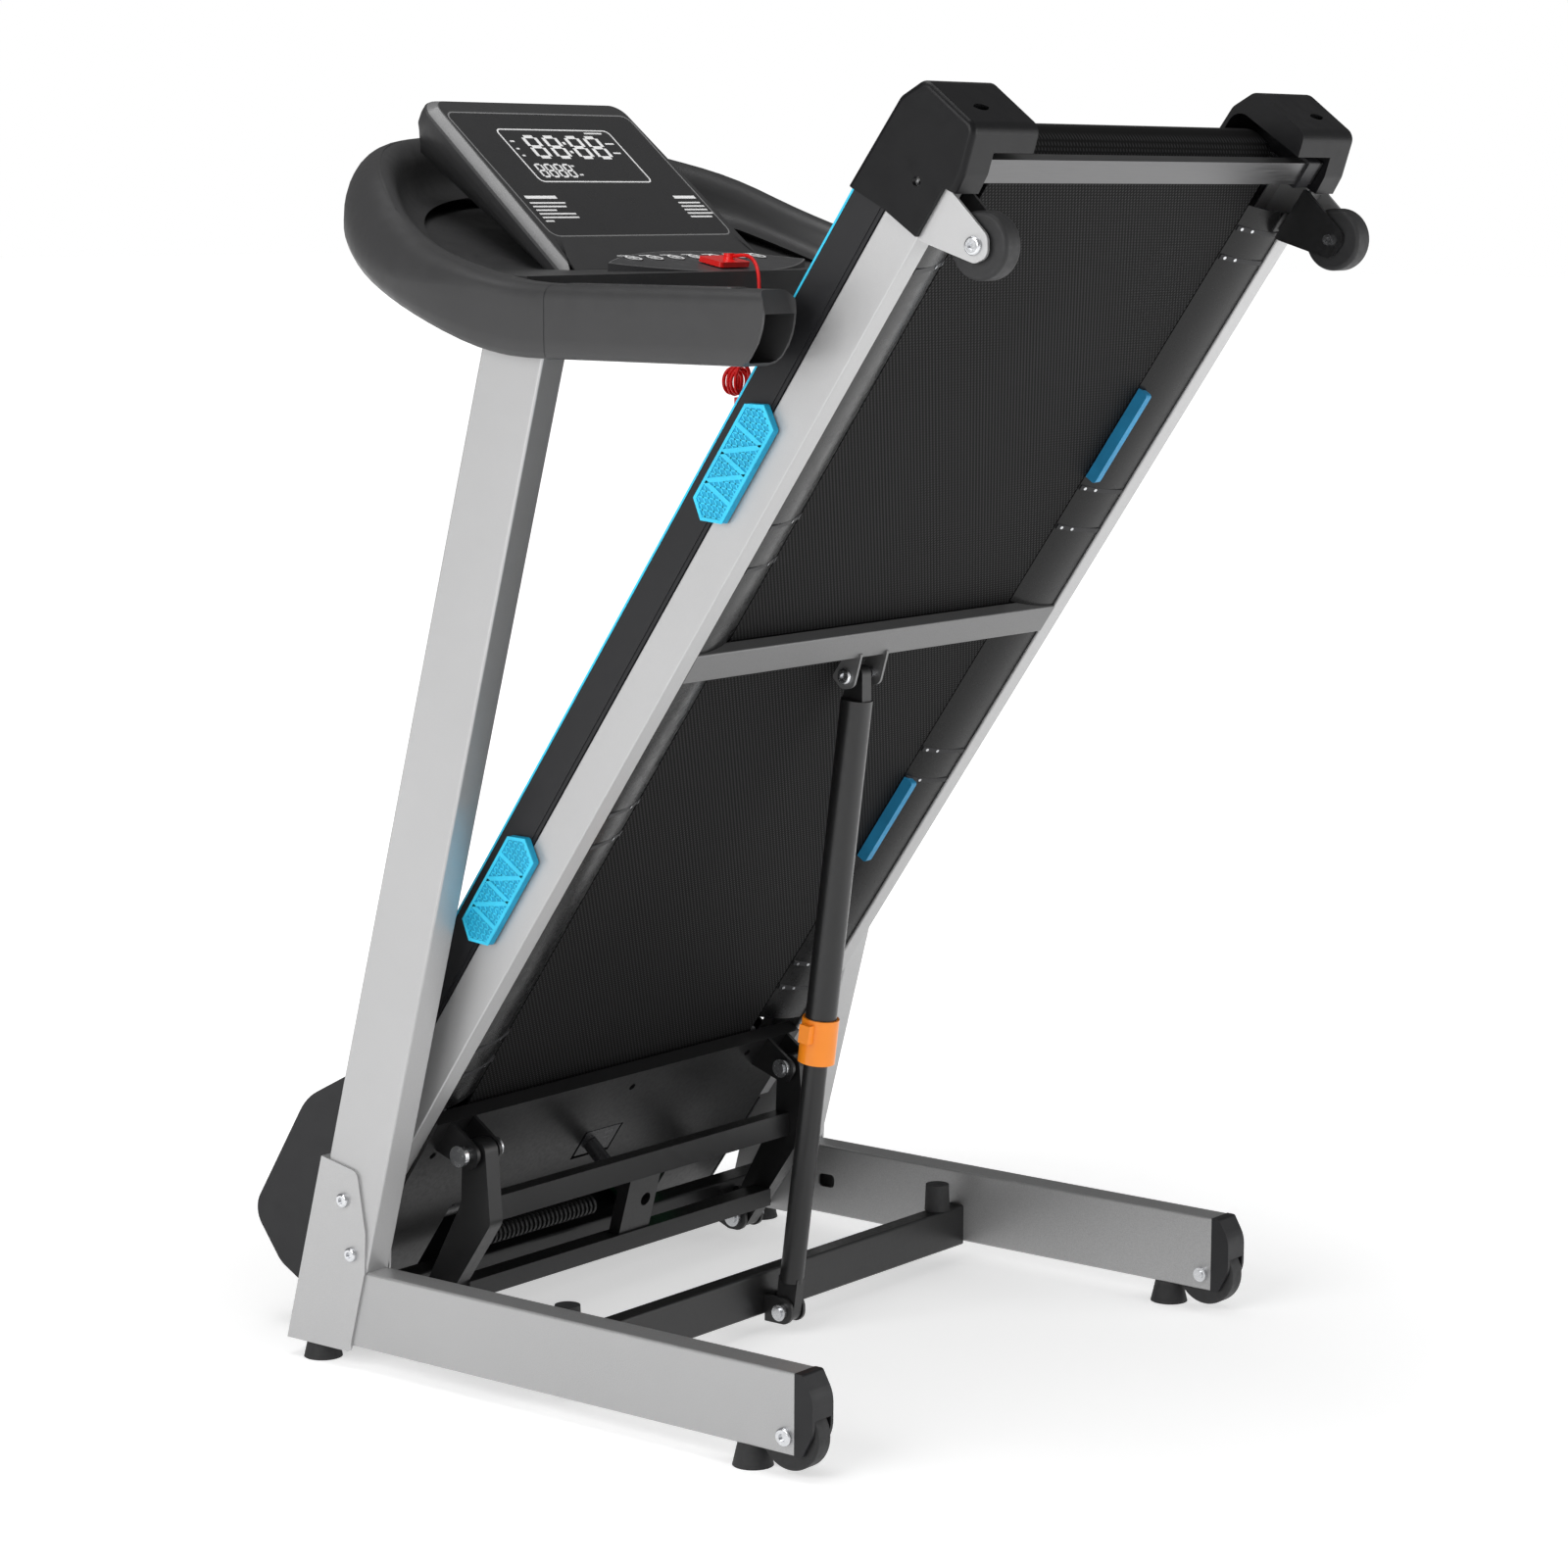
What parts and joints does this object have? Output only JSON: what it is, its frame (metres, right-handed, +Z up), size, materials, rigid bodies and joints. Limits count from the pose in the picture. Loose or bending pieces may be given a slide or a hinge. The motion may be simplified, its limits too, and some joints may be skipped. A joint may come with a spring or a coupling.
{
  "type": "folding treadmill",
  "caption": "Folding home treadmill with a hinged running deck, support strut, leaning uprights and a loop-handrail console.",
  "frame": {"origin": "on the floor under the middle of the folded treadmill", "axes": "+X to the user's right, +Y forward towards the motor, +Z up"},
  "size_m": [0.74, 0.883, 1.1894],
  "materials": {
    "silver_steel": "silver powder coat, satin",
    "black_steel": "black powder coat, satin",
    "zinc_hardware": "zinc plated",
    "black_rubber": "matt",
    "wheel_rubber": "matt",
    "grey_plastic": "fine texture, dark grey",
    "black_plastic": "fine texture, black",
    "display_gloss": "smoked gloss",
    "circuit_green": "solder mask",
    "key_plastic": "satin",
    "red_plastic": "satin",
    "red_cord": "braided cord",
    "orange_plastic": "satin",
    "blue_silicone": "matt",
    "board": "waxed fibreboard",
    "belt": "diamond weave, matt",
    "aluminium_trim": "satin anodised",
    "roller_steel": "turned",
    "motor_black": "black enamel"
  },
  "bodies": {
    "base": {"base_rail_left": "silver_steel", "base_rail_right": "silver_steel", "base_front_crossbar": "black_steel", "base_rear_crossbar": "black_steel", "upright_left": "silver_steel", "upright_right": "silver_steel", "upright_sockets": "silver_steel", "socket_bolts": "zinc_hardware", "base_feet": "black_rubber", "deck_bumpers": "black_rubber", "rail_end_caps": "black_plastic", "transport_wheel_axles": "zinc_hardware", "base_pivot_pins": "zinc_hardware", "handrail_shell": "grey_plastic", "console_tray": "grey_plastic", "display_housing": "grey_plastic", "display_panel": "display_gloss", "circuit_board": "circuit_green", "keypad_panel": "key_plastic"},
    "deck": {"side_rail_left": "silver_steel", "side_rail_right": "silver_steel", "mid_crossbar": "silver_steel", "motor_pan": "black_steel", "running_board": "board", "running_belt": "belt", "side_covers": "black_plastic", "deck_cushions": "blue_silicone", "rear_end_cap_left": "black_plastic", "rear_end_cap_right": "black_plastic", "rear_tie_bar": "aluminium_trim", "floor_wheel_brackets": "silver_steel", "deck_bolts": "zinc_hardware", "roller_axles": "roller_steel", "motor_hood": "black_plastic", "drive_motor": "motor_black", "drive_belt": "belt", "motor_controller": "circuit_green", "lift_frame": "black_steel", "incline_actuator": "motor_black"},
    "strut_lower": {"strut_rod": "black_steel"},
    "strut_upper": {"strut_cylinder": "black_steel"},
    "strut_latch": {"strut_latch": "orange_plastic"},
    "transport_wheel_left": {"transport_wheel_left": "wheel_rubber"},
    "transport_wheel_right": {"transport_wheel_right": "wheel_rubber"},
    "floor_wheel_left": {"floor_wheel_left": "wheel_rubber"},
    "floor_wheel_right": {"floor_wheel_right": "wheel_rubber"},
    "front_roller": {"front_roller": "roller_steel"},
    "rear_roller": {"rear_roller": "roller_steel"},
    "motor_pulley": {"motor_pulley": "roller_steel"},
    "safety_key": {"safety_key": "red_plastic", "safety_cord": "red_cord", "safety_cord_hank": "red_cord", "safety_clip": "red_plastic"},
    "button_speed_down": {"button_speed_down": "key_plastic"},
    "button_quick_speed": {"button_quick_speed": "key_plastic"},
    "button_mode": {"button_mode": "key_plastic"},
    "button_stop": {"button_stop": "key_plastic"},
    "button_program": {"button_program": "key_plastic"},
    "button_start": {"button_start": "key_plastic"},
    "button_speed_up": {"button_speed_up": "key_plastic"}
  },
  "joints": [
    {"name": "deck_fold", "type": "hinge", "parent": "base", "child": "deck", "pos_m": [0, 0.2535, 0.03], "axis": [1, 0, 0], "range_deg": [0, 57.04]},
    {"name": "strut_swing", "type": "hinge", "parent": "base", "child": "strut_lower", "pos_m": [0, 0.0055, 0.024], "axis": [1, 0, 0], "range_deg": [0, 74.27]},
    {"name": "strut_stroke", "type": "slide", "parent": "strut_lower", "child": "strut_upper", "axis": [0, -0.128, 0.9918], "range_m": [-0.17567, 0]},
    {"name": "latch_press", "type": "slide", "parent": "strut_upper", "child": "strut_latch", "axis": [0, -0.128, 0.9918], "range_m": [0, 0.008], "stiffness_N_per_m": 600},
    {"name": "transport_wheel_left_spin", "type": "hinge", "parent": "base", "child": "transport_wheel_left", "pos_m": [-0.33525, -0.2645, 0.038], "axis": [1, 0, 0], "continuous": true},
    {"name": "transport_wheel_right_spin", "type": "hinge", "parent": "base", "child": "transport_wheel_right", "pos_m": [0.33525, -0.2645, 0.038], "axis": [1, 0, 0], "continuous": true},
    {"name": "floor_wheel_left_spin", "type": "hinge", "parent": "deck", "child": "floor_wheel_left", "pos_m": [-0.2814, -0.413, 1.05665], "axis": [1, 0, 0], "continuous": true},
    {"name": "floor_wheel_right_spin", "type": "hinge", "parent": "deck", "child": "floor_wheel_right", "pos_m": [0.2814, -0.413, 1.05665], "axis": [1, 0, 0], "continuous": true},
    {"name": "front_roller_spin", "type": "hinge", "parent": "deck", "child": "front_roller", "pos_m": [0, 0.27274, 0.21732], "axis": [1, 0, 0], "continuous": true},
    {"name": "rear_roller_spin", "type": "hinge", "parent": "deck", "child": "rear_roller", "pos_m": [0, -0.3494, 1.12933], "axis": [1, 0, 0], "continuous": true},
    {"name": "motor_pulley_spin", "type": "hinge", "parent": "deck", "child": "motor_pulley", "pos_m": [0, 0.33134, 0.1314], "axis": [1, 0, 0], "continuous": true},
    {"name": "button_speed_down_press", "type": "slide", "parent": "base", "child": "button_speed_down", "axis": [0, 0.1994, -0.9799], "range_m": [0, 0.001], "stiffness_N_per_m": 250},
    {"name": "button_quick_speed_press", "type": "slide", "parent": "base", "child": "button_quick_speed", "axis": [0, 0.1994, -0.9799], "range_m": [0, 0.001], "stiffness_N_per_m": 250},
    {"name": "button_mode_press", "type": "slide", "parent": "base", "child": "button_mode", "axis": [0, 0.1994, -0.9799], "range_m": [0, 0.001], "stiffness_N_per_m": 250},
    {"name": "button_stop_press", "type": "slide", "parent": "base", "child": "button_stop", "axis": [0, 0.1994, -0.9799], "range_m": [0, 0.001], "stiffness_N_per_m": 250},
    {"name": "button_program_press", "type": "slide", "parent": "base", "child": "button_program", "axis": [0, 0.1994, -0.9799], "range_m": [0, 0.001], "stiffness_N_per_m": 250},
    {"name": "button_start_press", "type": "slide", "parent": "base", "child": "button_start", "axis": [0, 0.1994, -0.9799], "range_m": [0, 0.001], "stiffness_N_per_m": 250},
    {"name": "button_speed_up_press", "type": "slide", "parent": "base", "child": "button_speed_up", "axis": [0, 0.1994, -0.9799], "range_m": [0, 0.001], "stiffness_N_per_m": 250},
    {"name": "safety_key_pull", "type": "slide", "parent": "base", "child": "safety_key", "axis": [0, -0.1994, 0.9799], "range_m": [0, 0.025]}
  ],
  "couplings": [
    {"joint": "strut_swing", "follows": "deck_fold", "ratio": 1.2986},
    {"joint": "strut_stroke", "follows": "deck_fold", "m_per_rad": -0.17596},
    {"joint": "rear_roller_spin", "follows": "front_roller_spin", "ratio": 1},
    {"joint": "motor_pulley_spin", "follows": "front_roller_spin", "ratio": 2.236}
  ]
}
